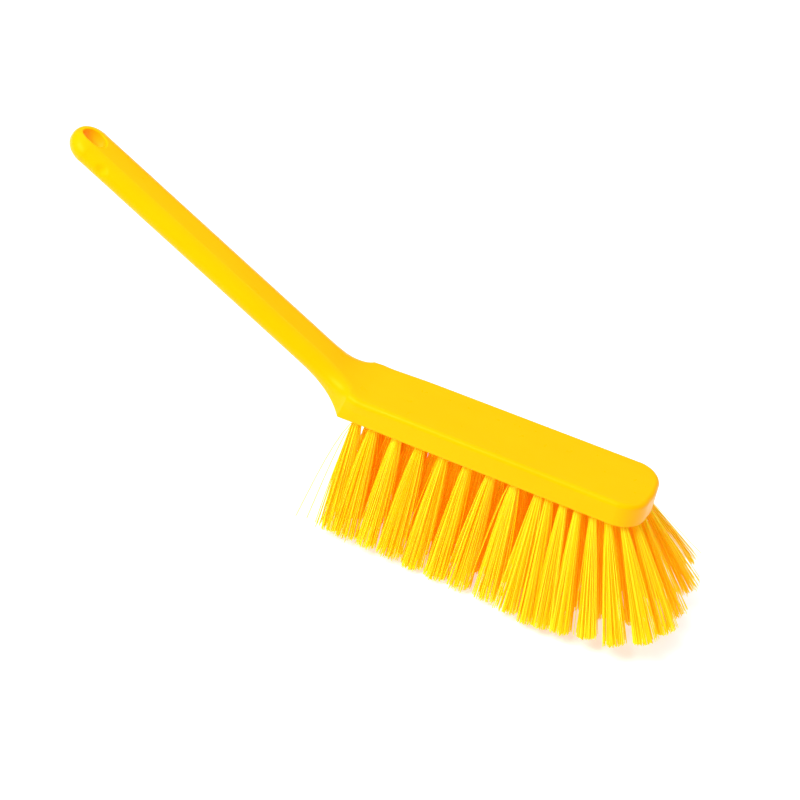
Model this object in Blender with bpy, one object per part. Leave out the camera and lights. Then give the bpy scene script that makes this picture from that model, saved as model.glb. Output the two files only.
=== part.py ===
"""Hand brush: one moulded plastic stock (block, neck and handle in one piece) and its filament tufts.

Metres, +Z up, +X from the handle towards the nose. The brush stands on its tuft tips at z = 0, and
the origin is under the middle of its whole length. Stock sizes are given from the block's rear edge
(x = 0) and underside (z = 0), and placed by BLOCK_REAR_X and TRIM.
"""

import math

import bmesh
import bpy
from mathutils import Vector

MM = 0.001

# Block
BLOCK_LENGTH = 150.5 * MM
REAR_HALF_WIDTH = 19.0 * MM
NOSE_HALF_WIDTH = 19.75 * MM
BLOCK_THICK = 12.5 * MM
NOSE_CORNER = 13.5 * MM
NOSE_BOW = 0.5 * MM
TOP_FILLET = 2.5 * MM
BOTTOM_FILLET = 0.8 * MM

# Handle, measured along its own axis from the block's rear edge
HANDLE_TILT = math.radians(26.2)
HANDLE_LENGTH = 167.8 * MM
HANDLE_HALF_WIDTH = 11.8 * MM
HANDLE_THICK = 12.0 * MM
HANDLE_SQUARENESS = 2.3
NECK_LENGTH = 34.0 * MM
NECK_CURVE = 2.7
NECK_DRAFT = 2.4 * MM
DRAFT_GROWS = (-7.0 * MM, 4.0 * MM)
CORNER_SOFTNESS = 2.0 * MM
TOP_ROUNDING = 0.22
TOP_ROUNDING_AHEAD = 35.0 * MM
TOP_BEND_AHEAD = 14.0 * MM
TOP_BEND_BEHIND = 16.0 * MM

# Hanging hole through the handle's end
HANG_HALF_LENGTH = 6.2 * MM
HANG_HALF_WIDTH = 4.6 * MM
HANG_RIM = 1.0 * MM
HANG_PAST_END_CENTRE = 2.3 * MM

# Shallow dent in each upper side of the handle
DIMPLE_RADIUS = 3.6 * MM
DIMPLE_DEPTH = 0.6 * MM
DIMPLE_BEFORE_END = 10.5 * MM
DIMPLE_ANGLE = math.radians(18)

# Tufts
TRIM = 61.0 * MM
HOLE_RADIUS = 2.1 * MM
HOLE_DEPTH = 8.0 * MM
GAP = 0.3 * MM
ROOT_RADIUS = HOLE_RADIUS - GAP
EDGE_INSET = 5.0 * MM
INNER_ROW_Y = 4.8 * MM
FIRST_OUTER_X = 8.8 * MM
SECOND_OUTER_X = 17.4 * MM
OUTER_PITCH = 11.93 * MM
OUTER_IN_ROW = 8
FIRST_INNER_X = 13.8 * MM
INNER_PITCH = 11.0 * MM
INNER_IN_ROW = 9
INNER_NOSE_PITCH = 8.5 * MM
INNER_NOSE_IN_ROW = 4
RING_START_X = 106.0 * MM
RING_COUNT = 15
TIP_RADIUS = 4.2 * MM
NOSE_TIP_RADIUS = 3.5 * MM

# How the tufts splay: the tip's distance from its root, sideways and forwards
TUFT_LENGTH = 62.2 * MM
NOSE_TUFT_LENGTH = 57.5 * MM
OUTWARD_REACH = 12.0 * MM
NOSE_OUTWARD_REACH = 20.0 * MM
OUTWARD_GROWS_X = (80.0 * MM, 115.0 * MM)
REAR_REACH = 3.5 * MM
REAR_LEAN_END_X = 30.0 * MM
FORWARD_REACH = 9.0 * MM
FORWARD_GROWS_X = (90.0 * MM, 108.0 * MM)
NOSE_REACH = 29.0 * MM
NOSE_LEAN_START_X = 118.0 * MM

# Places the stock in the brush's frame
BLOCK_REAR_X = -9.0 * MM

# Mesh fineness
HALF_POINTS = 15
TUFT_SIDES = 10
HOLE_SIDES = 12

AXIS = Vector((-math.cos(HANDLE_TILT), 0, math.sin(HANDLE_TILT)))
NORMAL = Vector((math.sin(HANDLE_TILT), 0, math.cos(HANDLE_TILT)))


def clear_scene():
    for thing in list(bpy.data.objects):
        bpy.data.objects.remove(thing, do_unlink=True)


def material(name, colour, roughness, metallic=0.0):
    made = bpy.data.materials.new(name)
    made.use_nodes = True
    shader = made.node_tree.nodes["Principled BSDF"]
    shader.inputs["Base Color"].default_value = (*colour, 1)
    shader.inputs["Roughness"].default_value = roughness
    shader.inputs["Metallic"].default_value = metallic
    return made


def add_object(name, mesh_data, look=None):
    """An object in the brush's frame, from a bmesh in the stock's frame."""
    mesh = bpy.data.meshes.new(name)
    bmesh.ops.recalc_face_normals(mesh_data, faces=mesh_data.faces)
    mesh_data.to_mesh(mesh)
    mesh_data.free()
    made = bpy.data.objects.new(name, mesh)
    made.location = (BLOCK_REAR_X, 0, TRIM)
    bpy.context.collection.objects.link(made)
    if look:
        mesh.materials.append(look)
    return made


def add_cutter(name, mesh_data):
    made = add_object(name, mesh_data)
    made.hide_render = True
    made.display_type = "WIRE"
    return made


# ---- the stock's outline and sections ----


def block_half_width(x):
    return REAR_HALF_WIDTH + (NOSE_HALF_WIDTH - REAR_HALF_WIDTH) * x / BLOCK_LENGTH


def rise(x, span):
    """0 before the span, 1 after it, and a smooth step between."""
    t = min(1.0, max(0.0, (x - span[0]) / (span[1] - span[0])))
    return t * t * (3 - 2 * t)


def soft_least(a, b, softness):
    """The smaller of two numbers, rounded off where they meet."""
    return (a + b - math.hypot(a - b, softness)) / 2 + softness / 2 * math.exp(-abs(a - b) / softness)


def neck_share(s):
    """1 at the block's rear edge, falling to 0 where the plain handle starts. s runs back from the block."""
    return max(0.0, 1 - s / NECK_LENGTH) ** NECK_CURVE


def half_width(s):
    flare = HANDLE_HALF_WIDTH + (REAR_HALF_WIDTH - HANDLE_HALF_WIDTH) * neck_share(s)
    return soft_least(block_half_width(-s) if s < 0 else REAR_HALF_WIDTH, flare, CORNER_SOFTNESS)


def bottom_line(s):
    """The underside's middle line: flat under the block, then rising with the handle."""
    return Vector((-s, 0, 0)) if s < 0 else AXIS * s


def top_line(s):
    """The top's middle line: flat on the block, a long concave bend, then the handle's top."""
    if s <= -TOP_BEND_AHEAD:
        return Vector((-s, 0, BLOCK_THICK))
    if s >= TOP_BEND_BEHIND:
        return AXIS * s + NORMAL * HANDLE_THICK
    start = Vector((TOP_BEND_AHEAD, 0, BLOCK_THICK))
    end = AXIS * TOP_BEND_BEHIND + NORMAL * HANDLE_THICK
    reach = (end - start).length / 3
    t = (s + TOP_BEND_AHEAD) / (TOP_BEND_AHEAD + TOP_BEND_BEHIND)
    pulls = (start, start + Vector((-reach, 0, 0)), end - AXIS * reach, end)
    weights = ((1 - t) ** 3, 3 * t * (1 - t) ** 2, 3 * t * t * (1 - t), t**3)
    return sum((p * w for p, w in zip(pulls, weights)), Vector((0, 0, 0)))


def oval_profile():
    """Half of the handle's section, bottom middle to top middle: shares of its half width and thickness."""
    points = []
    for i in range(HALF_POINTS):
        angle = math.pi * i / (HALF_POINTS - 1)
        across = abs(math.sin(angle)) ** (2 / HANDLE_SQUARENESS)
        up = math.copysign(abs(math.cos(angle)) ** (2 / HANDLE_SQUARENESS), -math.cos(angle))
        points.append((across, (1 + up) / 2))
    return points


def box_profile():
    """Half of the block's section: how far each point is in from the side, and its height."""
    points = [(None, 0.0), (EDGE_INSET, 0.0)]
    for angle in (0, 45, 90):
        turn = math.radians(angle)
        points.append((BOTTOM_FILLET * (1 - math.sin(turn)), BOTTOM_FILLET * (1 - math.cos(turn))))
    points.append((0.0, BLOCK_THICK * 0.4))
    points.append((0.0, BLOCK_THICK * 0.6))
    for angle in (0, 22.5, 45, 67.5, 90):
        turn = math.radians(angle)
        points.append((TOP_FILLET * (1 - math.cos(turn)), BLOCK_THICK - TOP_FILLET * (1 - math.sin(turn))))
    points += [(EDGE_INSET, BLOCK_THICK), (2 * EDGE_INSET, BLOCK_THICK), (None, BLOCK_THICK)]
    return points


def section(s, width=None, thick=1.0):
    """The closed ring of points round the stock at distance s behind the block's rear edge."""
    width = half_width(s) if width is None else width
    low, high = bottom_line(s), top_line(s)
    middle = (low + high) / 2
    low, high = middle + (low - middle) * thick, middle + (high - middle) * thick
    share = 1.0 if s < 0 else neck_share(s)
    rounding = TOP_ROUNDING * rise(s, (-TOP_ROUNDING_AHEAD, 0))
    draft = NECK_DRAFT * rise(s, DRAFT_GROWS) * (1 - rise(s, (0, NECK_LENGTH)))
    half = []
    for (across, up), (inset, height) in zip(oval_profile(), box_profile()):
        oval = Vector((across * width, up))
        box = Vector((0 if inset is None else width - inset * width / REAR_HALF_WIDTH, height / BLOCK_THICK))
        point = oval.lerp(box, share * (1 - rounding * rise(box.y, (0.3, 0.6))))
        point.x *= 1 - draft * point.y / width
        half.append(point)
    near = [low.lerp(high, up) + Vector((0, -y, 0)) for y, up in half]
    far = [low.lerp(high, up) + Vector((0, y, 0)) for y, up in reversed(half[1:-1])]
    return near + far


def nose_outline(inset):
    """The nose's outline at an inset, from the near side round to the far side, both at the nose's start."""
    half = NOSE_HALF_WIDTH - NOSE_CORNER
    turn_x = BLOCK_LENGTH - NOSE_BOW - NOSE_CORNER
    radius = NOSE_CORNER - inset
    steps = 6
    corner = [math.radians(90) * i / steps for i in range(steps + 1)]
    near = [Vector((turn_x + radius * math.sin(a), -half - radius * math.cos(a), 0)) for a in corner]
    front = [half * (i / 3 - 1) for i in range(1, 6)]
    bowed = [Vector((turn_x + radius + NOSE_BOW * (1 - (y / half) ** 2), y, 0)) for y in front]
    far = [Vector((p.x, -p.y, 0)) for p in reversed(near)]
    return near + bowed + far


def bridge(shape, ring_a, ring_b):
    count = len(ring_a)
    for i in range(count):
        j = (i + 1) % count
        shape.faces.new((ring_a[i], ring_a[j], ring_b[j], ring_b[i]))


def stock_shape():
    """Rings from the handle's end to the nose's start, and strips that follow the outline round the nose."""
    shape = bmesh.new()
    behind = [120, 80, 48]
    ahead = [1.4, 0.5, -0.5, -1.4, -2.6, -5, -8, -11, -15, -20, -27, -36, -70, -105]
    stations = [(s * MM,) for s in behind]
    stations += [(NECK_LENGTH * (1 - i / 14),) for i in range(14)]
    stations += [(s * MM,) for s in ahead]
    cap = []
    for degrees in (86, 78, 68, 56, 42, 26, 10, 0):
        turn = math.radians(degrees)
        s = HANDLE_LENGTH + HANDLE_HALF_WIDTH * math.sin(turn)
        cap.append((s, HANDLE_HALF_WIDTH * math.cos(turn), (1 - math.sin(turn) ** 2.6) ** 0.42))
    rings = [[shape.verts.new(p) for p in section(*station)] for station in cap + stations]
    shape.faces.new(reversed(rings[0]))

    # The last ring is the nose's start. Its near and far points begin and end each strip.
    start = section(-(BLOCK_LENGTH - NOSE_BOW - NOSE_CORNER))
    last = [shape.verts.new(p) for p in start]
    rings.append(last)
    for ring_a, ring_b in zip(rings, rings[1:]):
        bridge(shape, ring_a, ring_b)
    profile = box_profile()[1:-1]
    strips = []
    for index, (inset, height) in enumerate(profile, start=1):
        outline = nose_outline(inset)[1:-1]
        middle = [shape.verts.new(p + Vector((0, 0, height))) for p in outline]
        strips.append([last[index], *middle, last[-index]])
    for low, high in zip(strips, strips[1:]):
        for i in range(len(low) - 1):
            shape.faces.new((low[i], low[i + 1], high[i + 1], high[i]))
    shape.faces.new([*reversed(strips[0]), last[0]])
    shape.faces.new([*strips[-1], last[len(profile) + 1]])
    return shape


# ---- cutters ----


def add_tube(shape, rings):
    """A closed shape through rings of points, flat at both ends."""
    made = [[shape.verts.new(p) for p in ring] for ring in rings]
    for ring_a, ring_b in zip(made, made[1:]):
        bridge(shape, ring_a, ring_b)
    shape.faces.new(reversed(made[0]))
    shape.faces.new(made[-1])


def hanging_hole():
    """An oval cutter square to the handle, wider towards both faces so that the rims are rounded."""
    shape = bmesh.new()
    centre = AXIS * (HANDLE_LENGTH + HANG_PAST_END_CENTRE) + NORMAL * (HANDLE_THICK / 2)
    profile = []
    for degrees in (0, 35, 65):
        turn = math.radians(degrees)
        profile.append((HANDLE_THICK / 2 - HANG_RIM * (1 - math.sin(turn)), HANG_RIM * (1 - math.cos(turn))))
    profile.append((HANDLE_THICK, HANG_RIM * 1.6))
    profile = [(-height, grow) for height, grow in reversed(profile)] + profile
    rings = []
    for height, grow in profile:
        ring = []
        for i in range(24):
            angle = math.tau * i / 24
            along = (HANG_HALF_LENGTH + grow) * math.cos(angle)
            across = (HANG_HALF_WIDTH + grow) * math.sin(angle)
            ring.append(centre + AXIS * along + Vector((0, across, 0)) + NORMAL * height)
        rings.append(ring)
    add_tube(shape, rings)
    return add_cutter("hanging_hole_cutter", shape)


def dimples():
    """Two shallow round dents in the handle's upper sides, near its end."""
    shape = bmesh.new()
    middle = AXIS * (HANDLE_LENGTH - DIMPLE_BEFORE_END) + NORMAL * (HANDLE_THICK / 2)
    across, up = math.cos(DIMPLE_ANGLE), math.sin(DIMPLE_ANGLE)
    power = 2 / HANDLE_SQUARENESS
    for side in (-1, 1):
        out = Vector((0, side * across, 0)) + NORMAL * up
        skin = Vector((0, side * HANDLE_HALF_WIDTH * across**power, 0))
        skin += NORMAL * (HANDLE_THICK / 2 * up**power)
        centre = middle + skin + out * (DIMPLE_RADIUS - DIMPLE_DEPTH)
        ball = bmesh.ops.create_icosphere(shape, subdivisions=3, radius=DIMPLE_RADIUS)
        bmesh.ops.translate(shape, verts=ball["verts"], vec=centre)
    return add_cutter("dimple_cutter", shape)


# ---- tufts ----


def tuft_roots():
    """Every tuft's name and place on the underside, row by row."""
    roots = []
    outer = [FIRST_OUTER_X] + [SECOND_OUTER_X + OUTER_PITCH * i for i in range(OUTER_IN_ROW)]
    inner = [FIRST_INNER_X + INNER_PITCH * i for i in range(INNER_IN_ROW)]
    inner += [inner[-1] + INNER_NOSE_PITCH * (i + 1) for i in range(INNER_NOSE_IN_ROW)]
    for side, word in ((-1, "right"), (1, "left")):
        for i, x in enumerate(outer, start=1):
            roots.append((f"tuft_outer_{word}_{i:02d}", x, side * (block_half_width(x) - EDGE_INSET)))
        for i, x in enumerate(inner, start=1):
            roots.append((f"tuft_inner_{word}_{i:02d}", x, side * INNER_ROW_Y))
    for i in range(RING_COUNT):
        x, y = ring_place(i / (RING_COUNT - 1))
        roots.append((f"tuft_nose_{i + 1:02d}", x, y))
    return roots


def ring_place(share):
    """A point on the ring of tufts round the nose: straight, corner, front, corner, straight."""
    radius = NOSE_CORNER - EDGE_INSET
    turn_x = BLOCK_LENGTH - NOSE_BOW - NOSE_CORNER
    half = NOSE_HALF_WIDTH - NOSE_CORNER
    straight = turn_x - RING_START_X
    corner = radius * math.pi / 2
    total = 2 * straight + 2 * corner + 2 * half
    side = -1 if share < 0.5 else 1
    along = total * min(share, 1 - share)
    if along <= straight:
        return RING_START_X + along, side * (half + radius)
    angle = (along - straight) / radius
    if angle <= math.pi / 2:
        return turn_x + radius * math.sin(angle), side * (half + radius * math.cos(angle))
    return turn_x + radius, side * (total / 2 - along)


def tip_shift(x, y):
    """From a tuft's mouth to its tip. The straight rows are trimmed flat, and the nose to an arc."""
    reach = OUTWARD_REACH + (NOSE_OUTWARD_REACH - OUTWARD_REACH) * rise(x, OUTWARD_GROWS_X)
    outward = reach * y / (REAR_HALF_WIDTH - EDGE_INSET)
    forward = FORWARD_REACH * rise(x, FORWARD_GROWS_X)
    forward -= REAR_REACH * max(0.0, 1 - x / REAR_LEAN_END_X)
    share = (x - NOSE_LEAN_START_X) / (BLOCK_LENGTH - EDGE_INSET - NOSE_LEAN_START_X)
    forward += (NOSE_REACH - FORWARD_REACH) * max(0.0, share)
    length = TUFT_LENGTH - (TUFT_LENGTH - NOSE_TUFT_LENGTH) * max(0.0, share)
    drop = math.sqrt(length**2 - forward**2 - outward**2)
    return Vector((forward, outward, -min(TRIM, drop)))


def ring_of(centre, radius, sides):
    turns = (math.tau * (i + 0.5) / sides for i in range(sides))
    return [centre + Vector((radius * math.cos(a), radius * math.sin(a), 0)) for a in turns]


def tuft_line(x, y):
    """A tuft's mouth on the underside, its tip, and its slope per metre of height, shared by its hole."""
    mouth = Vector((x, y, 0))
    tip = mouth + tip_shift(x, y)
    slope = (mouth - tip) / (mouth - tip).z
    return mouth, tip, slope


def tuft_holes():
    shape = bmesh.new()
    for _, x, y in tuft_roots():
        mouth, _, slope = tuft_line(x, y)
        heights = (-2 * MM, HOLE_DEPTH)
        add_tube(shape, [ring_of(mouth + slope * h, HOLE_RADIUS, HOLE_SIDES) for h in heights])
    return add_cutter("tuft_hole_cutter", shape)


def add_tuft(name, x, y, look):
    mouth, tip, slope = tuft_line(x, y)
    tip_radius = NOSE_TIP_RADIUS if x > FORWARD_GROWS_X[0] else TIP_RADIUS
    shape = bmesh.new()
    deep = ring_of(mouth + slope * (HOLE_DEPTH - GAP), ROOT_RADIUS, TUFT_SIDES)
    neck = ring_of(mouth - slope * 1 * MM, ROOT_RADIUS, TUFT_SIDES)
    add_tube(shape, [deep, neck, ring_of(tip, tip_radius, TUFT_SIDES)])
    tuft = add_object(name, shape, look)
    tuft.data.shade_smooth()
    tuft.data.set_sharp_from_angle(angle=math.radians(40))


def add_stock(look):
    stock = add_object("brush_stock", stock_shape(), look)
    for cutter in (tuft_holes(), hanging_hole(), dimples()):
        cut = stock.modifiers.new(cutter.name, "BOOLEAN")
        cut.operation = "DIFFERENCE"
        cut.object = cutter
    stock.data.shade_smooth()
    stock.data.set_sharp_from_angle(angle=math.radians(35))


def main():
    clear_scene()
    add_stock(material("yellow_polypropylene", (1.0, 0.64, 0.0), 0.32))
    filament = material("yellow_filament", (1.0, 0.66, 0.01), 0.45)
    for name, x, y in tuft_roots():
        add_tuft(name, x, y, filament)


main()
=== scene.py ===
"""Looks of the hand brush: a fine moulded stock and tufts of single filaments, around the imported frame.

Lengths are metres. The stock is built in its own frame, as in the CAD source (x = 0 is the block's rear
edge, z = 0 its underside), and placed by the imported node's box. Each tuft's place comes from its node.
"""

import math

import bmesh
import bpy
import numpy as np
from mathutils import Matrix, Vector


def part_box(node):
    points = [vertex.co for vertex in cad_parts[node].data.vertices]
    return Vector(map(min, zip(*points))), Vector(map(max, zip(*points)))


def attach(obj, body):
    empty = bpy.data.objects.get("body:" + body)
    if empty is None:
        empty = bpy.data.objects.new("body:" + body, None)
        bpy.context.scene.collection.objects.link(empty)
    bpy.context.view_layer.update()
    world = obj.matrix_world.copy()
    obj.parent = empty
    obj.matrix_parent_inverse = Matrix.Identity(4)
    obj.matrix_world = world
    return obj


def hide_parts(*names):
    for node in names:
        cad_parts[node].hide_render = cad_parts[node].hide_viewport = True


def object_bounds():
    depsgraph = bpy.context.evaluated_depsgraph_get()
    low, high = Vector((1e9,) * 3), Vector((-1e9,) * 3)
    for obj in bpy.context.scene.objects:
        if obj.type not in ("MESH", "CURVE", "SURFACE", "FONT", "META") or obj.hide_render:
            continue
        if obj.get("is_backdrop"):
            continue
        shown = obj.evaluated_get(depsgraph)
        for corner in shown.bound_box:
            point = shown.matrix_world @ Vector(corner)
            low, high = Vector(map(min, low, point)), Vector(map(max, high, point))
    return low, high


MM = 0.001

# Block
BLOCK_LENGTH = 150.5 * MM
REAR_HALF_WIDTH = 19.0 * MM
NOSE_HALF_WIDTH = 19.75 * MM
BLOCK_THICK = 12.5 * MM
NOSE_CORNER = 13.5 * MM
NOSE_BOW = 0.5 * MM
TOP_FILLET = 2.5 * MM
BOTTOM_FILLET = 0.8 * MM
EDGE_INSET = 5.0 * MM
WALL_LEVELS = (0.4, 0.6)
NOSE_START_X = BLOCK_LENGTH - NOSE_BOW - NOSE_CORNER
NOSE_CORNER_STEPS = 28
NOSE_FRONT_STEPS = 16

# Handle, measured along its own axis from the block's rear edge
HANDLE_TILT = math.radians(26.2)
HANDLE_LENGTH = 167.8 * MM
HANDLE_HALF_WIDTH = 11.8 * MM
HANDLE_THICK = 12.0 * MM
OVAL_FULLNESS = 0.87
OVAL_SWELL = 1.115
OVAL_CROWN = 0.02
SHOULDER_SOFTNESS = 0.02
CAP_TURN_POWER = 2.6
CAP_THICK_POWER = 0.42
CAP_RINGS = 26
CAP_FIRST_RING = 0.12
NECK_LENGTH = 34.0 * MM
NECK_CURVE = 2.7
NECK_DRAFT = 2.4 * MM
DRAFT_GROWS = (-7.0 * MM, 4.0 * MM)
CORNER_SOFTNESS = 3.5 * MM
TOP_ROUNDING = 0.22
TOP_ROUNDING_AHEAD = 35.0 * MM
TOP_ROUNDING_LEVELS = (0.3, 0.6)
TOP_BEND_AHEAD = 14.0 * MM
TOP_BEND_BEHIND = 16.0 * MM

# The half section's points: u runs from 0 at the bottom middle to 14 at the top middle. A run is its
# first u, its last u and its number of points, closest together on the fillets (2 to 4 and 7 to 11).
U_TOP = 14
U_SIDE = U_TOP / 2
U_RUNS = ((0, 1, 4), (1, 2, 5), (2, 4, 8), (4, 7, 9), (7, 11, 16), (11, 13, 8), (13, 14, 4))

# The stock's rings from the handle's end to the nose's start: first and last distance behind the
# block's rear edge in millimetres, and the number of rings between them
HANDLE_RUNS = ((HANDLE_LENGTH / MM, 164, 3), (164, 150, 28), (150, 34, 29), (34, 4, 30))
BLOCK_RUNS = ((4, -3, 20), (-3, -15, 12), (-15, -36, 10), (-36, -NOSE_START_X / MM, 20))

# Hanging hole and the shallow dents beside it
HANG_HALF_LENGTH = 6.2 * MM
HANG_HALF_WIDTH = 4.6 * MM
HANG_RIM = 0.8 * MM
HANG_RIM_STEPS = 6
HANG_RIM_STEP = math.radians(12)
HANG_ROUND_STEPS = 72
HANG_PAST_END_CENTRE = 2.3 * MM
DIMPLE_RADIUS = 3.9 * MM
DIMPLE_DEPTH = 0.95 * MM
DIMPLE_BEFORE_END = 10.5 * MM
DIMPLE_ANGLE = math.radians(18)
SHARP_EDGE = math.radians(40)

# Tuft holes and filaments
HOLE_RADIUS = 2.1 * MM
HOLE_RIM = 0.3 * MM
HOLE_DEPTH = 8.0 * MM
HOLE_CLEAR = 2.0 * MM
HOLE_ROUND_STEPS = 24
ROOT_GAP = 0.8 * MM
FILAMENTS = 100
FILAMENT_RADIUS = 0.2 * MM
FILAMENT_SIDES = 5
FILAMENT_RINGS = 9
RING_SPACING = 1.5
SHARP_TIP = math.radians(75)
GOLDEN_ANGLE = 2.399963

# How a tuft fans out below its hole, and the few filaments that have left it
ROOT_SHAKE = 0.04
FAN_RADIUS = 6.0 * MM
FAN_VARIES = (0.93, 1.1)
FAN_SHARE_ACROSS = 1.1
FAN_CURVE = 0.6
NOSE_FAN_RADIUS = 4.7 * MM
NOSE_FAN_CURVE = 0.85
NOSE_FAN_X = (92 * MM, 112 * MM)
WIDE_SHARE = 0.14
WIDE_REACH = 1.35
FAN_RAGGED = 0.35 * MM
TRIM_RAGGED = 0.014
EDGE_SHORTER = 0.024
TUFT_RAGGED = 0.008
STRAY_SHARE = 0.02
STRAY_REACH = 2.0 * MM
FILAMENT_CURL = 0.1 * MM
CURL_ANGLE = 7
FILAMENT_BEND = 0.45 * MM
MOST_ACROSS = 50 * MM
LOOSE_TUFT = "tuft_outer_right_01"
LOOSE_REACHES = ((-7 * MM, -1 * MM), (-11 * MM, -3 * MM), (-16 * MM, -5 * MM))

# Where the tufts' tips leave their solids' tips a little, along the block (x is the tuft's mouth)
REAR_PULL = 3.2 * MM
REAR_DRAW_IN = 0.12
REAR_PULL_X = (8 * MM, 30 * MM)
REAR_TRIM = 2.2 * MM
REAR_TRIM_X = (5 * MM, 80 * MM)
NOSE_PUSH = 2.0 * MM
FAR_CORNER_PUSH = 6.0 * MM
NOSE_PUSH_X = (124 * MM, 142 * MM)
LEAN_X = (77 * MM, 89 * MM, 101 * MM, 107 * MM)
LEAN_SHIFT = (0, 2.6 * MM, -2.4 * MM, 0)
TONES = (0.2, 0.8)
SEED = 20

# Colours, linear red, green and blue
STOCK_YELLOWS = ((0.98, 0.44, 0.0002), (1.0, 0.46, 0.0005))
STOCK_SHEEN = (1.0, 0.75, 0.1, 1)
FILAMENT_YELLOWS = ((0.96, 0.57, 0.002), (0.98, 0.77, 0.02))
FILAMENT_SHEEN = (1.0, 0.8, 0.15, 1)
# colour of the filaments' painted glow, an emission that stands in for light led through them
FILAMENT_PAINTED_GLOW = (1.0, 0.52, 0.0, 1)
FLOOR_WHITES = ((0.74, 0.74, 0.74), (0.77, 0.77, 0.77))
WHITE = (1, 1, 1, 1)

# The room: strengths of its white light, and lamps as place from the brush's middle, size and watts
ROOM_STRENGTH = 0.42
ROOM_IN_GLOSS = 0.1
BACKDROP_STRENGTH = 1.0
FLOOR_HALF_SIZE = 6.0
KEY = (Vector((-0.68, -1.08, 1.54)), 1.0, 42)
OVERHEAD = (Vector((0, 0.5, 2.2)), 2.5, 21)
STRIP = (Vector((0.8, 0.68, 1.4)), 0.35, 2.2)

# The camera: its direction from the block, its roll, the width that it takes in at the brush, and how
# far the picture's middle lies right of and below the block's rear edge; the sensor is in millimetres
CAMERA_AZIMUTH = math.radians(14.478)
CAMERA_ELEVATION = math.radians(34.318)
CAMERA_ROLL = math.radians(12.889)
CAMERA_DISTANCE = 1.2
AIM_RIGHT = 22.62 * MM
AIM_DOWN = 1.02 * MM
VIEW_WIDTH = 377.18 * MM
SENSOR_WIDTH = 36

AXIS = Vector((-math.cos(HANDLE_TILT), 0, math.sin(HANDLE_TILT)))
NORMAL = Vector((math.sin(HANDLE_TILT), 0, math.cos(HANDLE_TILT)))

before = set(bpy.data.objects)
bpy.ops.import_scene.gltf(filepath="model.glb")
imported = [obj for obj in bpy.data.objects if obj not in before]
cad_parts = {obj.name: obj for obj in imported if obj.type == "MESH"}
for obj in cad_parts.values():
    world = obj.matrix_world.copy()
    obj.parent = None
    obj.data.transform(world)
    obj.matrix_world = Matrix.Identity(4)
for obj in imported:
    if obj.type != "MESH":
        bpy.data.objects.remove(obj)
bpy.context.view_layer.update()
stock_low, stock_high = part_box("brush_stock")
UNDERSIDE = stock_low.z
STOCK_PLACE = Vector((stock_high.x - BLOCK_LENGTH, (stock_low.y + stock_high.y) / 2, UNDERSIDE))
rng = np.random.default_rng(SEED)


# ---- the stock's sections, as in the CAD source but finer ----


def rise(x, span):
    """0 before the span, 1 after it, and a smooth step between."""
    t = min(1.0, max(0.0, (x - span[0]) / (span[1] - span[0])))
    return t * t * (3 - 2 * t)


def soft_least(a, b, softness):
    """The smaller of two numbers, rounded off where they meet."""
    return (a + b - math.hypot(a - b, softness)) / 2 + softness / 2 * math.exp(-abs(a - b) / softness)


def block_half_width(x):
    """The block is a little wider at its nose than at its rear."""
    return REAR_HALF_WIDTH + (NOSE_HALF_WIDTH - REAR_HALF_WIDTH) * x / BLOCK_LENGTH


def neck_share(s):
    """1 at the block's rear edge, falling to 0 where the plain handle starts. s runs back from the block."""
    return max(0.0, 1 - s / NECK_LENGTH) ** NECK_CURVE


def half_width(s):
    """The stock's half width at distance s behind the block's rear edge, with the corner there softened."""
    flare = HANDLE_HALF_WIDTH + (REAR_HALF_WIDTH - HANDLE_HALF_WIDTH) * neck_share(s)
    return soft_least(block_half_width(-s) if s < 0 else REAR_HALF_WIDTH, flare, CORNER_SOFTNESS)


def bottom_line(s):
    """The underside's middle line: flat under the block, then rising with the handle."""
    return Vector((-s, 0, 0)) if s < 0 else AXIS * s


def top_line(s):
    """The top's middle line: flat on the block, a long concave bend, then the handle's top."""
    if s <= -TOP_BEND_AHEAD:
        return Vector((-s, 0, BLOCK_THICK))
    if s >= TOP_BEND_BEHIND:
        return AXIS * s + NORMAL * HANDLE_THICK
    start = Vector((TOP_BEND_AHEAD, 0, BLOCK_THICK))
    end = AXIS * TOP_BEND_BEHIND + NORMAL * HANDLE_THICK
    reach = (end - start).length / 3
    t = (s + TOP_BEND_AHEAD) / (TOP_BEND_AHEAD + TOP_BEND_BEHIND)
    pulls = (start, start + Vector((-reach, 0, 0)), end - AXIS * reach, end)
    weights = ((1 - t) ** 3, 3 * t * (1 - t) ** 2, 3 * t * t * (1 - t), t**3)
    return sum((p * w for p, w in zip(pulls, weights)), Vector((0, 0, 0)))


def oval_height(across):
    """Height of the handle's section above its middle, as a share of half its thickness.

    It is an ellipse with its top and bottom flattened to a low crown, so that a soft shoulder runs
    along each side of the flat.
    """
    ellipse = OVAL_SWELL * math.sqrt(max(0.0, 1 - across * across))
    crown = 1 - OVAL_CROWN * (across * 2) ** 2
    return soft_least(ellipse, crown, SHOULDER_SOFTNESS)


def oval_point(u):
    """The handle's half section, as shares of its half width and of its thickness."""
    angle = math.pi * u / U_TOP
    across = abs(math.sin(angle)) ** OVAL_FULLNESS
    up = math.copysign(oval_height(min(1.0, across)), -math.cos(angle))
    if abs(u - U_SIDE) < 1e-6:
        up = 0.0
    return Vector((across, (1 + up) / 2))


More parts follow.
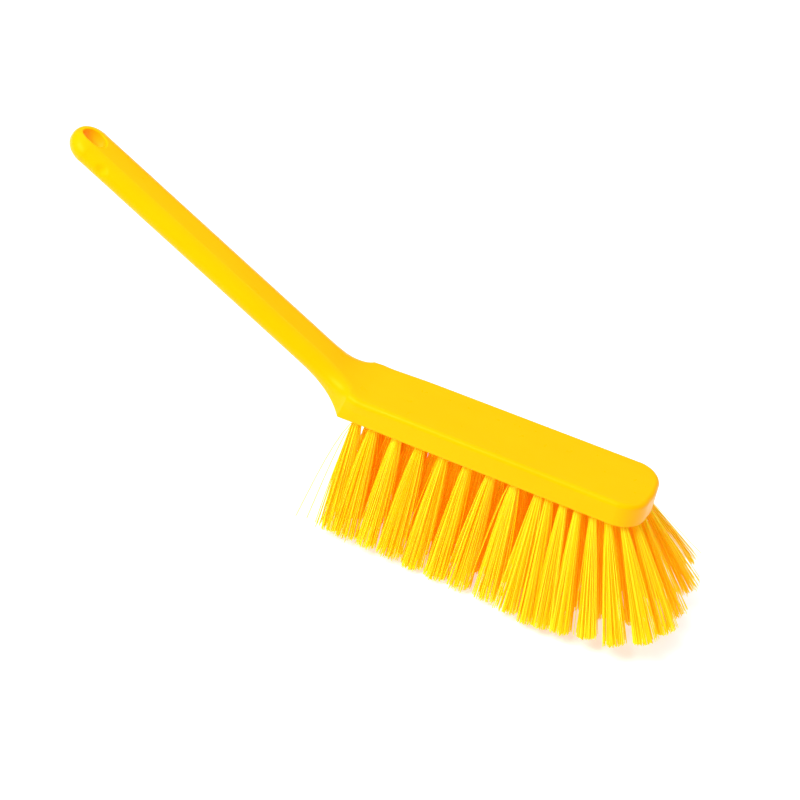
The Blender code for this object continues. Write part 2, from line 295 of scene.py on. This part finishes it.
def box_point(u, width):
    """The block's half section, as metres across and a share of its thickness."""
    scale = width / REAR_HALF_WIDTH
    if u <= 1:
        return Vector(((width - EDGE_INSET * scale) * u, 0))
    if u <= 2:
        inset = EDGE_INSET + (BOTTOM_FILLET - EDGE_INSET) * (u - 1)
        return Vector((width - inset * scale, 0))
    if u <= 4:
        turn = math.pi / 4 * (u - 2)
        inset = BOTTOM_FILLET * (1 - math.sin(turn))
        return Vector((width - inset * scale, BOTTOM_FILLET * (1 - math.cos(turn)) / BLOCK_THICK))
    if u <= 7:
        levels = [BLOCK_THICK * share for share in WALL_LEVELS]
        heights = (BOTTOM_FILLET, *levels, BLOCK_THICK - TOP_FILLET)
        return Vector((width, np.interp(u, (4, 5, 6, 7), heights) / BLOCK_THICK))
    if u <= 11:
        turn = math.pi / 8 * (u - 7)
        inset = TOP_FILLET * (1 - math.cos(turn))
        height = BLOCK_THICK - TOP_FILLET * (1 - math.sin(turn))
        return Vector((width - inset * scale, height / BLOCK_THICK))
    inset = np.interp(u, (11, 12, 13), (TOP_FILLET, EDGE_INSET, 2 * EDGE_INSET))
    if u <= 13:
        return Vector((width - inset * scale, 1))
    return Vector(((width - 2 * EDGE_INSET * scale) * (U_TOP - u), 1))


def spaced(runs):
    """The numbers of several runs, each evenly spaced from its start to just before its end."""
    return [start + (end - start) * i / count for start, end, count in runs for i in range(count)]


STEPS = spaced(U_RUNS) + [U_TOP]
STATIONS = [s * MM for s in spaced(HANDLE_RUNS + BLOCK_RUNS)] + [-NOSE_START_X]


def section(s, width=None, thick=1.0):
    """The closed ring of points round the stock at distance s behind the block's rear edge."""
    width = half_width(s) if width is None else width
    low, high = bottom_line(s), top_line(s)
    middle = (low + high) / 2
    low, high = middle + (low - middle) * thick, middle + (high - middle) * thick
    share = 1.0 if s < 0 else neck_share(s)
    rounding = TOP_ROUNDING * rise(s, (-TOP_ROUNDING_AHEAD, 0))
    draft = NECK_DRAFT * rise(s, DRAFT_GROWS) * (1 - rise(s, (0, NECK_LENGTH)))
    half = []
    for u in STEPS:
        oval = oval_point(u)
        oval.x *= width
        box = box_point(u, width)
        point = oval.lerp(box, share * (1 - rounding * rise(box.y, TOP_ROUNDING_LEVELS)))
        point.x *= 1 - draft * point.y / width
        half.append(point)
    near = [low.lerp(high, p.y) + Vector((0, -p.x, 0)) for p in half]
    far = [low.lerp(high, p.y) + Vector((0, p.x, 0)) for p in reversed(half[1:-1])]
    return near + far


def nose_outline(inset):
    """The nose's outline at an inset, from the near side round to the far side, both at the nose's start."""
    half = NOSE_HALF_WIDTH - NOSE_CORNER
    radius = NOSE_CORNER - inset
    corner = [math.radians(90) * i / NOSE_CORNER_STEPS for i in range(NOSE_CORNER_STEPS + 1)]
    near = [Vector((NOSE_START_X + radius * math.sin(a), -half - radius * math.cos(a), 0)) for a in corner]
    front = [half * (2 * i / NOSE_FRONT_STEPS - 1) for i in range(1, NOSE_FRONT_STEPS)]
    bowed = [Vector((NOSE_START_X + radius + NOSE_BOW * (1 - (y / half) ** 2), y, 0)) for y in front]
    far = [Vector((p.x, -p.y, 0)) for p in reversed(near)]
    return near + bowed + far


def cap_size(turn):
    """Half width and share of the thickness at an angle round the handle's end."""
    return HANDLE_HALF_WIDTH * math.cos(turn), (1 - math.sin(turn) ** CAP_TURN_POWER) ** CAP_THICK_POWER


def bridge(shape, ring_a, ring_b):
    """A band of faces between two closed rings."""
    count = len(ring_a)
    for i in range(count):
        j = (i + 1) % count
        shape.faces.new((ring_a[i], ring_a[j], ring_b[j], ring_b[i]))


def stock_shape():
    """Rings from the handle's end to the nose's start, and strips that follow the outline round the nose."""
    shape = bmesh.new()
    rings = []
    for i in range(CAP_RINGS):
        turn = math.pi / 2 * (1 - (i + CAP_FIRST_RING) / CAP_RINGS)
        width, thick = cap_size(turn)
        ring = section(HANDLE_LENGTH + HANDLE_HALF_WIDTH * math.sin(turn), width, thick)
        rings.append([shape.verts.new(p) for p in ring])
    for s in STATIONS:
        rings.append([shape.verts.new(p) for p in section(s)])
    shape.faces.new(reversed(rings[0]))
    for ring_a, ring_b in zip(rings, rings[1:]):
        bridge(shape, ring_a, ring_b)
    last = rings[-1]
    strips = []
    for index, u in enumerate(STEPS[1:-1], start=1):
        point = box_point(u, NOSE_HALF_WIDTH)
        inset = (NOSE_HALF_WIDTH - point.x) * REAR_HALF_WIDTH / NOSE_HALF_WIDTH
        if inset > 2 * EDGE_INSET + 1e-6 or (point.y == 0 and inset > EDGE_INSET + 1e-6):
            continue
        outline = nose_outline(inset)[1:-1]
        middle = [shape.verts.new(p + Vector((0, 0, point.y * BLOCK_THICK))) for p in outline]
        strips.append((index, [last[index], *middle, last[-index]]))
    for (_, low), (_, high) in zip(strips, strips[1:]):
        for i in range(len(low) - 1):
            shape.faces.new((low[i], low[i + 1], high[i + 1], high[i]))
    first, final = strips[0][0], strips[-1][0]
    under = last[first - 1 : 0 : -1] + [last[0]] + last[: -first : -1]
    over = last[final + 1 : len(last) - final]
    shape.faces.new([*reversed(strips[0][1]), *reversed(under)])
    shape.faces.new([*strips[-1][1], *reversed(over)])
    return shape


def dent(shape):
    """Presses a soft dimple into each upper side of the handle, near its end."""
    middle = AXIS * (HANDLE_LENGTH - DIMPLE_BEFORE_END) + NORMAL * (HANDLE_THICK / 2)
    for side in (-1, 1):
        across = math.cos(DIMPLE_ANGLE) ** OVAL_FULLNESS
        up = oval_height(across)
        centre = middle + Vector((0, side * HANDLE_HALF_WIDTH * across, 0)) + NORMAL * (HANDLE_THICK / 2 * up)
        for vert in shape.verts:
            away = (vert.co - centre).length
            if away < DIMPLE_RADIUS:
                depth = DIMPLE_DEPTH * (1 + math.cos(math.pi * away / DIMPLE_RADIUS)) / 2
                inward = (middle - vert.co) - AXIS * (middle - vert.co).dot(AXIS)
                vert.co += inward.normalized() * depth


def handle_skin(s, y):
    """Height of the handle's skin above its middle plane, at distance s along it and y across it."""
    turn = math.asin(min(0.999, max(0.0, (s - HANDLE_LENGTH) / HANDLE_HALF_WIDTH)))
    width, thick = cap_size(turn)
    return HANDLE_THICK / 2 * thick * oval_height(min(1.0, abs(y) / width))


# ---- cutters ----


def add_tube(shape, rings):
    """A closed shape through rings of points, flat at both ends."""
    made = [[shape.verts.new(p) for p in ring] for ring in rings]
    for ring_a, ring_b in zip(made, made[1:]):
        bridge(shape, ring_a, ring_b)
    shape.faces.new(reversed(made[0]))
    shape.faces.new(made[-1])


def hanging_hole():
    """An oval cutter square to the handle.

    Its flared ends follow the handle's skin, so that both rims are rounded evenly. A level is its side,
    its depth past the skin (None is flat, clear of the handle) and how much it grows the oval.
    """
    shape = bmesh.new()
    middle_s = HANDLE_LENGTH + HANG_PAST_END_CENTRE
    turns = [HANG_RIM_STEP * i for i in range(HANG_RIM_STEPS + 1)]
    rims = [(-HANG_RIM * (1 - math.sin(t)), HANG_RIM * (1 - math.cos(t))) for t in turns]
    rims += [(HANG_RIM * 0.6, HANG_RIM * 1.5), (None, HANG_RIM * 1.5)]
    levels = [(-1, *rim) for rim in reversed(rims)] + [(1, *rim) for rim in rims]
    rings = []
    for side, depth, grow in levels:
        ring = []
        for i in range(HANG_ROUND_STEPS):
            angle = math.tau * i / HANG_ROUND_STEPS
            along = (HANG_HALF_LENGTH + grow) * math.cos(angle)
            across = (HANG_HALF_WIDTH + grow) * math.sin(angle)
            height = side * (HANDLE_THICK if depth is None else handle_skin(middle_s + along, across) + depth)
            point = AXIS * (middle_s + along) + Vector((0, across, 0)) + NORMAL * (HANDLE_THICK / 2 + height)
            ring.append(point)
        rings.append(ring)
    add_tube(shape, rings)
    return shape


def tuft_holes(lines):
    """Blind holes along the tufts' own slopes, each with a small countersink at its mouth."""
    shape = bmesh.new()
    turns = [math.tau * i / HOLE_ROUND_STEPS for i in range(HOLE_ROUND_STEPS)]
    for line in lines:
        mouth = line["mouth"] - STOCK_PLACE
        rings = []
        for height, grow in ((-HOLE_CLEAR, HOLE_CLEAR + HOLE_RIM), (HOLE_RIM, 0), (HOLE_DEPTH, 0)):
            centre = mouth + line["slope"] * height
            radius = HOLE_RADIUS + grow
            rings.append([centre + Vector((radius * math.cos(a), radius * math.sin(a), 0)) for a in turns])
        add_tube(shape, rings)
    return shape


# ---- materials ----


def new_material(name):
    """A material with its nodes, its links and its shader."""
    made = bpy.data.materials.new(name)
    made.use_nodes = True
    nodes = made.node_tree.nodes
    return made, nodes, made.node_tree.links, nodes["Principled BSDF"]


def noise(nodes, links, source, scale, detail=3.0, stretch=None):
    """Noise of so many features per metre, if wanted stretched along an axis."""
    made = nodes.new("ShaderNodeTexNoise")
    made.inputs["Scale"].default_value = scale
    made.inputs["Detail"].default_value = detail
    if stretch:
        mapping = nodes.new("ShaderNodeMapping")
        mapping.inputs["Scale"].default_value = stretch
        links.new(source, mapping.inputs["Vector"])
        source = mapping.outputs["Vector"]
    links.new(source, made.inputs["Vector"])
    return made.outputs["Fac"]


def spread(nodes, links, value, low, high):
    """Maps a noise value's middle range to low..high."""
    made = nodes.new("ShaderNodeMapRange")
    made.inputs["From Min"].default_value = 0.3
    made.inputs["From Max"].default_value = 0.7
    made.inputs["To Min"].default_value = low
    made.inputs["To Max"].default_value = high
    links.new(value, made.inputs["Value"])
    return made.outputs["Result"]


def two_colours(nodes, links, value, low, high):
    """Maps a value's middle range to the colours between two."""
    ramp = nodes.new("ShaderNodeValToRGB")
    ramp.color_ramp.elements[0].position = 0.3
    ramp.color_ramp.elements[0].color = (*low, 1)
    ramp.color_ramp.elements[1].position = 0.7
    ramp.color_ramp.elements[1].color = (*high, 1)
    links.new(value, ramp.inputs["Fac"])
    return ramp.outputs["Color"]


def bump(nodes, links, height, distance, strength, under=None):
    """Relief of so many metres, if wanted on top of another."""
    made = nodes.new("ShaderNodeBump")
    made.inputs["Distance"].default_value = distance
    made.inputs["Strength"].default_value = strength
    links.new(height, made.inputs["Height"])
    if under:
        links.new(under, made.inputs["Normal"])
    return made.outputs["Normal"]


def moulded_yellow():
    """Polypropylene: even golden yellow, satin, with a fine mould grain and faint flow waves."""
    made, nodes, links, shader = new_material("moulded_yellow")
    place = nodes.new("ShaderNodeTexCoord").outputs["Object"]
    flow = noise(nodes, links, place, scale=55, stretch=(0.35, 1, 1))
    grain = noise(nodes, links, place, scale=2600, detail=2)
    patches = noise(nodes, links, place, scale=160, detail=4)
    links.new(two_colours(nodes, links, flow, *STOCK_YELLOWS), shader.inputs["Base Color"])
    links.new(spread(nodes, links, patches, 0.27, 0.37), shader.inputs["Roughness"])
    waves = bump(nodes, links, flow, 0.4 * MM, 0.25)
    links.new(bump(nodes, links, grain, 0.03 * MM, 0.35, waves), shader.inputs["Normal"])
    shader.inputs["Specular IOR Level"].default_value = 0.18
    shader.inputs["Specular Tint"].default_value = STOCK_SHEEN
    return made


def filament_yellow():
    """Polyester filament: each one a slightly different yellow, a little streaky along its length.

    The faint glow is painted light: an orange emission that stands in for the light that clear filament leads
    along itself, and lifts the filaments in shade.
    """
    made, nodes, links, shader = new_material("filament_yellow")
    tone = nodes.new("ShaderNodeAttribute")
    tone.attribute_name = "tone"
    yellow = two_colours(nodes, links, tone.outputs["Fac"], *FILAMENT_YELLOWS)
    links.new(yellow, shader.inputs["Base Color"])
    place = nodes.new("ShaderNodeTexCoord").outputs["Object"]
    streaks = noise(nodes, links, place, scale=900, detail=2, stretch=(1, 1, 0.08))
    links.new(spread(nodes, links, streaks, 0.36, 0.55), shader.inputs["Roughness"])
    links.new(bump(nodes, links, streaks, 0.02 * MM, 0.3), shader.inputs["Normal"])
    shader.inputs["Specular IOR Level"].default_value = 0.2
    shader.inputs["Specular Tint"].default_value = FILAMENT_SHEEN
    # painted glow: the filaments give off a little orange light of their own, though they are no lamp
    shader.inputs["Emission Color"].default_value = FILAMENT_PAINTED_GLOW
    shader.inputs["Emission Strength"].default_value = 0.08
    shader.inputs["Subsurface Weight"].default_value = 0.5
    shader.inputs["Subsurface Radius"].default_value = (1.0, 0.45, 0.05)
    shader.inputs["Subsurface Scale"].default_value = 0.8 * MM
    return made


def floor_white():
    """The white sweep: matt, and bright enough to meet the backdrop without an edge."""
    made, nodes, links, shader = new_material("floor_white")
    place = nodes.new("ShaderNodeTexCoord").outputs["Object"]
    clouds = noise(nodes, links, place, scale=3)
    links.new(two_colours(nodes, links, clouds, *FLOOR_WHITES), shader.inputs["Base Color"])
    shader.inputs["Roughness"].default_value = 0.8
    shader.inputs["Specular IOR Level"].default_value = 0.1
    shader.inputs["Emission Color"].default_value = WHITE
    shader.inputs["Emission Strength"].default_value = 0.45
    return made


# ---- pieces ----


def mesh_object(name, shape, looks=None):
    """An object made of a bmesh shape, which is used up."""
    mesh = bpy.data.meshes.new(name)
    bmesh.ops.recalc_face_normals(shape, faces=shape.faces)
    shape.to_mesh(mesh)
    shape.free()
    made = bpy.data.objects.new(name, mesh)
    bpy.context.scene.collection.objects.link(made)
    if looks:
        mesh.materials.append(looks)
    return made


def settle(piece):
    """Replaces a piece's mesh by its evaluated one, and removes its modifiers."""
    graph = bpy.context.evaluated_depsgraph_get()
    settled = bpy.data.meshes.new_from_object(piece.evaluated_get(graph))
    piece.modifiers.clear()
    piece.data = settled
    settled.name = piece.name


def build_stock(lines, looks):
    """The moulded stock, with its dents, its hanging hole and its tuft holes."""
    shape = stock_shape()
    dent(shape)
    stock = mesh_object("moulded_stock", shape, looks)
    cutters = [mesh_object("hanging_cutter", hanging_hole()), mesh_object("tuft_cutter", tuft_holes(lines))]
    for cutter in cutters:
        cut = stock.modifiers.new(cutter.name, "BOOLEAN")
        cut.operation = "DIFFERENCE"
        cut.object = cutter
    settle(stock)
    for cutter in cutters:
        bpy.data.objects.remove(cutter, do_unlink=True)
    stock.data.shade_smooth()
    stock.data.set_sharp_from_angle(angle=SHARP_EDGE)
    weigh = stock.modifiers.new("weighted_normals", "WEIGHTED_NORMAL")
    weigh.keep_sharp = True
    weigh.weight = 80
    settle(stock)
    stock.data.transform(Matrix.Translation(STOCK_PLACE))
    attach(stock, "root")
    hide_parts("brush_stock")


def tuft_line(node):
    """A tuft's mouth in the underside, tip, slope and radius at the root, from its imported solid."""
    points = np.array([v.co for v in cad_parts[node].data.vertices])
    low, high = points[:, 2].min(), points[:, 2].max()
    near_end = 0.2 * MM
    deep = points[points[:, 2] > high - near_end]
    ends = points[points[:, 2] < low + near_end]
    deep_middle = (deep.min(0) + deep.max(0)) / 2
    tip = (ends.min(0) + ends.max(0)) / 2
    slope = (deep_middle - tip) / (high - low)
    mouth = tip + slope * (UNDERSIDE - low)
    return {
        "node": node,
        "mouth": Vector(mouth),
        "tip": Vector(tip),
        "slope": Vector(slope),
        "root_radius": float(np.ptp(deep[:, 0]) / 2),
    }


def disc_points(count, radius):
    """Points spread evenly over a disc, sunflower-wise, slightly shaken."""
    index = np.arange(count) + 0.5
    away = radius * np.sqrt(index / count)
    turn = index * GOLDEN_ANGLE
    points = np.stack([away * np.cos(turn), away * np.sin(turn)], axis=1)
    return points + rng.normal(0, radius * ROOT_SHAKE, points.shape)


def lean(line):
    """A tuft's tip: drawn forward and in at the rear, pushed out at the nose, shifted where tufts part."""
    place = line["mouth"] - STOCK_PLACE
    tip = line["tip"].copy()
    rear = 1 - rise(place.x, REAR_PULL_X)
    outward = tip.y - line["mouth"].y
    tip.x += REAR_PULL * rear + np.interp(place.x, LEAN_X, LEAN_SHIFT)
    tip.z += REAR_TRIM * (1 - rise(place.x, REAR_TRIM_X))
    tip.y -= outward * REAR_DRAW_IN * rear
    nose = rise(place.x, NOSE_PUSH_X)
    tip.x += NOSE_PUSH * nose
    tip.y += FAR_CORNER_PUSH * nose * max(0, place.y) / (NOSE_HALF_WIDTH - EDGE_INSET)
    return tip


def filament_faces(count):
    """Sides and ends of so many filaments, whose points come ring by ring."""
    sides, rows = FILAMENT_SIDES, FILAMENT_RINGS
    faces = []
    for base in range(0, count * rows * sides, rows * sides):
        for low in range(base, base + (rows - 1) * sides, sides):
            for i in range(sides):
                j = (i + 1) % sides
                faces.append((low + j, low + i, low + sides + i, low + sides + j))
        last = base + (rows - 1) * sides
        faces.append(tuple(range(base, base + sides)))
        faces.append(tuple(range(last + sides - 1, last - 1, -1)))
    return faces


def fan_ends(line, roots):
    """How far each filament's tip lies from the tuft's own axis, with a few spread wider and a few astray."""
    nose = rise(line["mouth"].x - STOCK_PLACE.x, NOSE_FAN_X)
    fan_radius = FAN_RADIUS + (NOSE_FAN_RADIUS - FAN_RADIUS) * nose
    root_radius = line["root_radius"] - FILAMENT_RADIUS
    spread_out = fan_radius / root_radius * rng.uniform(*FAN_VARIES)
    ends = roots * spread_out * (1, FAN_SHARE_ACROSS) + rng.normal(0, FAN_RAGGED, roots.shape)
    ends[rng.random(FILAMENTS) < WIDE_SHARE] *= WIDE_REACH
    strays = rng.random(FILAMENTS) < STRAY_SHARE
    ends[strays] += rng.normal(0, STRAY_REACH, (strays.sum(), 2))
    if line["node"] == LOOSE_TUFT:
        ends[: len(LOOSE_REACHES)] = LOOSE_REACHES
    return ends


def filament_lines(line):
    """The rings' centres of a tuft's filaments: a tight bundle in the hole that fans out to ragged tips."""
    mouth, tip = np.array(line["mouth"]), np.array(lean(line))
    deep = mouth + np.array(line["slope"]) * (HOLE_DEPTH - ROOT_GAP)
    nose = rise(line["mouth"].x - STOCK_PLACE.x, NOSE_FAN_X)
    fan_curve = FAN_CURVE + (NOSE_FAN_CURVE - FAN_CURVE) * nose
    root_radius = line["root_radius"] - FILAMENT_RADIUS
    roots = disc_points(FILAMENTS, root_radius)
    reach = (tip - mouth)[:2] + fan_ends(line, roots)
    reach[:, 1] = np.clip(reach[:, 1], -MOST_ACROSS - mouth[1], MOST_ACROSS - mouth[1])
    ends = reach - (tip - mouth)[:2]
    shorter = EDGE_SHORTER * (roots**2).sum(1) / root_radius**2 + rng.normal(0, TUFT_RAGGED)
    trims = np.abs(rng.normal(0, TRIM_RAGGED, FILAMENTS))
    lengths = np.linalg.norm(tip - mouth) * (1 - trims - shorter)
    drop = np.sqrt(lengths**2 - (reach**2).sum(1))
    drop = np.minimum(drop, mouth[2] - FILAMENT_RADIUS)
    waves = rng.uniform(0, math.tau, (FILAMENTS, 2))
    bend = rng.normal(0, FILAMENT_BEND, (FILAMENTS, 2))
    lines = np.zeros((FILAMENTS, FILAMENT_RINGS, 3))
    lines[:, 0] = deep + np.pad(roots, ((0, 0), (0, 1)))
    for k, t in enumerate(np.linspace(0.0, 1.0, FILAMENT_RINGS - 1) ** RING_SPACING, start=1):
        curl = FILAMENT_CURL * np.sin(waves + CURL_ANGLE * t) * t + bend * t * (1 - t) * 2
        straight = (tip - mouth)[:2] * t
        lines[:, k, :2] = mouth[:2] + roots + straight + (ends - roots) * t**fan_curve + curl
        lines[:, k, 2] = mouth[2] - drop * t
    return lines


def build_tuft(line, faces, looks):
    """One tuft: a tube of a few sides round each filament's line, each filament with its own tone."""
    lines = filament_lines(line)
    turn = np.arange(FILAMENT_SIDES) * math.tau / FILAMENT_SIDES
    circle = np.stack([np.cos(turn), np.sin(turn), np.zeros(FILAMENT_SIDES)], axis=1) * FILAMENT_RADIUS
    points = (lines[:, :, None, :] + circle[None, None, :, :]).reshape(-1, 3)
    name = line["node"].replace("tuft", "filaments")
    mesh = bpy.data.meshes.new(name)
    mesh.from_pydata(points.tolist(), [], faces)
    mesh.materials.append(looks)
    tones = np.repeat(rng.uniform(*TONES, FILAMENTS), FILAMENT_RINGS * FILAMENT_SIDES)
    mesh.attributes.new("tone", "FLOAT", "POINT").data.foreach_set("value", tones.astype(np.float32))
    mesh.shade_smooth()
    mesh.set_sharp_from_angle(angle=SHARP_TIP)
    tuft = bpy.data.objects.new(name, mesh)
    bpy.context.scene.collection.objects.link(tuft)
    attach(tuft, "root")
    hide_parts(line["node"])


# ---- the room ----


def build_floor():
    shape = bmesh.new()
    bmesh.ops.create_grid(shape, x_segments=8, y_segments=8, size=FLOOR_HALF_SIZE)
    floor = mesh_object("floor", shape, floor_white())
    floor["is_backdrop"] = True


def area_light(name, target, offset, size, power):
    """A square lamp, placed at an offset from its target and turned to it."""
    light = bpy.data.lights.new(name, "AREA")
    light.shape = "SQUARE"
    light.size = size
    light.energy = power
    made = bpy.data.objects.new(name, light)
    made.location = target + offset
    made.rotation_euler = (-offset).to_track_quat("-Z", "Y").to_euler()
    bpy.context.scene.collection.objects.link(made)
    return made


def build_light():
    """An even white room, dim in reflections and full white behind the brush, and three lamps."""
    world = bpy.data.worlds.new("studio")
    world.use_nodes = True
    nodes, links = world.node_tree.nodes, world.node_tree.links
    room = nodes["Background"]
    room.inputs["Color"].default_value = WHITE
    room.inputs["Strength"].default_value = ROOM_STRENGTH
    dim = nodes.new("ShaderNodeBackground")
    dim.inputs["Strength"].default_value = ROOM_IN_GLOSS
    seen = nodes.new("ShaderNodeBackground")
    seen.inputs["Color"].default_value = WHITE
    seen.inputs["Strength"].default_value = BACKDROP_STRENGTH
    path = nodes.new("ShaderNodeLightPath")
    shader = room.outputs["Background"]
    for ray, other in (("Is Glossy Ray", dim), ("Is Camera Ray", seen)):
        mix = nodes.new("ShaderNodeMixShader")
        links.new(path.outputs[ray], mix.inputs["Fac"])
        links.new(shader, mix.inputs[1])
        links.new(other.outputs["Background"], mix.inputs[2])
        shader = mix.outputs["Shader"]
    links.new(shader, nodes["World Output"].inputs["Surface"])
    bpy.context.scene.world = world
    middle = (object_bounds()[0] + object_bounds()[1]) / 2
    area_light("key", middle, *KEY)
    overhead = area_light("overhead", middle, *OVERHEAD)
    overhead.visible_glossy = False
    area_light("strip", middle, *STRIP)


def build_camera():
    """The camera looks down from the near right, and is rolled so that the block runs down to the right."""
    level = Vector((math.cos(CAMERA_AZIMUTH), math.sin(CAMERA_AZIMUTH), 0))
    away = Vector((math.sin(CAMERA_AZIMUTH), -math.cos(CAMERA_AZIMUTH), 0))
    back = away * math.cos(CAMERA_ELEVATION) + Vector((0, 0, math.sin(CAMERA_ELEVATION)))
    above = back.cross(level)
    right = math.cos(CAMERA_ROLL) * level + math.sin(CAMERA_ROLL) * above
    up = -math.sin(CAMERA_ROLL) * level + math.cos(CAMERA_ROLL) * above
    aim = STOCK_PLACE + right * AIM_RIGHT - up * AIM_DOWN
    camera = bpy.data.cameras.new("camera")
    camera.sensor_width = SENSOR_WIDTH
    camera.lens = SENSOR_WIDTH * CAMERA_DISTANCE / VIEW_WIDTH
    camera.clip_start = 0.01
    made = bpy.data.objects.new("camera", camera)
    place = aim + back * CAMERA_DISTANCE
    made.matrix_world = Matrix.Translation(place) @ Matrix((right, up, back)).transposed().to_4x4()
    bpy.context.scene.collection.objects.link(made)
    bpy.context.scene.camera = made


def main():
    build_camera()
    lines = [tuft_line(node) for node in sorted(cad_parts) if node.startswith("tuft_")]
    build_stock(lines, moulded_yellow())
    filament = filament_yellow()
    faces = filament_faces(FILAMENTS)
    for line in lines:
        build_tuft(line, faces, filament)
    build_floor()
    build_light()
    bpy.context.scene.view_settings.view_transform = "Standard"
    bpy.context.scene.cycles.diffuse_bounces = 20
    bpy.context.scene.cycles.max_bounces = 24


main()
